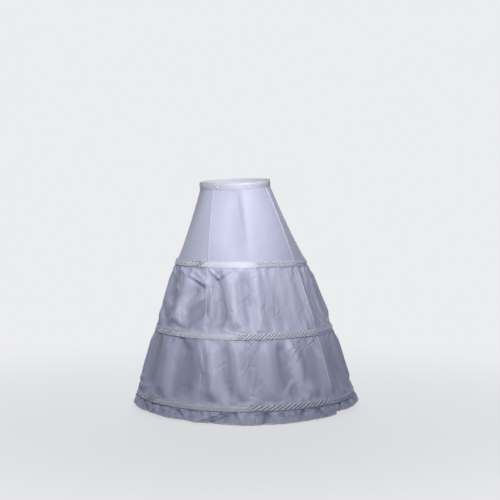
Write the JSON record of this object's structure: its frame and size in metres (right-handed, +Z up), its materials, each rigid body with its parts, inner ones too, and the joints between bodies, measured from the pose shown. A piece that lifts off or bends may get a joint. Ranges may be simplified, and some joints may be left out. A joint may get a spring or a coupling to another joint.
{
  "type": "hoop petticoat",
  "caption": "White taffeta hoop petticoat: gores on an elastic waistband, spread by hoop steels in ruched casings, with a flounce at the hem. Worn to hold out a full skirt.",
  "frame": {"origin": "middle of the waistband, on the wearer's vertical axis", "axes": "+Z up, -Y the wearer's front, +X the wearer's left"},
  "size_m": [0.8885, 0.8884, 0.8905],
  "materials": {
    "cloth": "white polyester taffeta with a soft sheen",
    "tape": "doubled white taffeta tape, ruched",
    "elastic": "white braided elastic",
    "steel": "spring steel in a white nylon coat",
    "joiner": "plain crimped steel"
  },
  "bodies": {
    "root": {"waistband": "tape", "waist_elastic": "elastic", "front_left_gore": "cloth", "back_left_gore": "cloth", "back_right_gore": "cloth", "front_right_gore": "cloth", "upper_front_casing": "tape", "middle_front_casing": "tape", "lower_front_casing": "tape", "upper_back_casing": "tape", "middle_back_casing": "tape", "lower_back_casing": "tape", "upper_hoop": "steel", "middle_hoop": "steel", "lower_hoop": "steel", "upper_joiner": "joiner", "middle_joiner": "joiner", "lower_joiner": "joiner", "front_flounce": "cloth", "back_flounce": "cloth"}
  },
  "joints": []
}
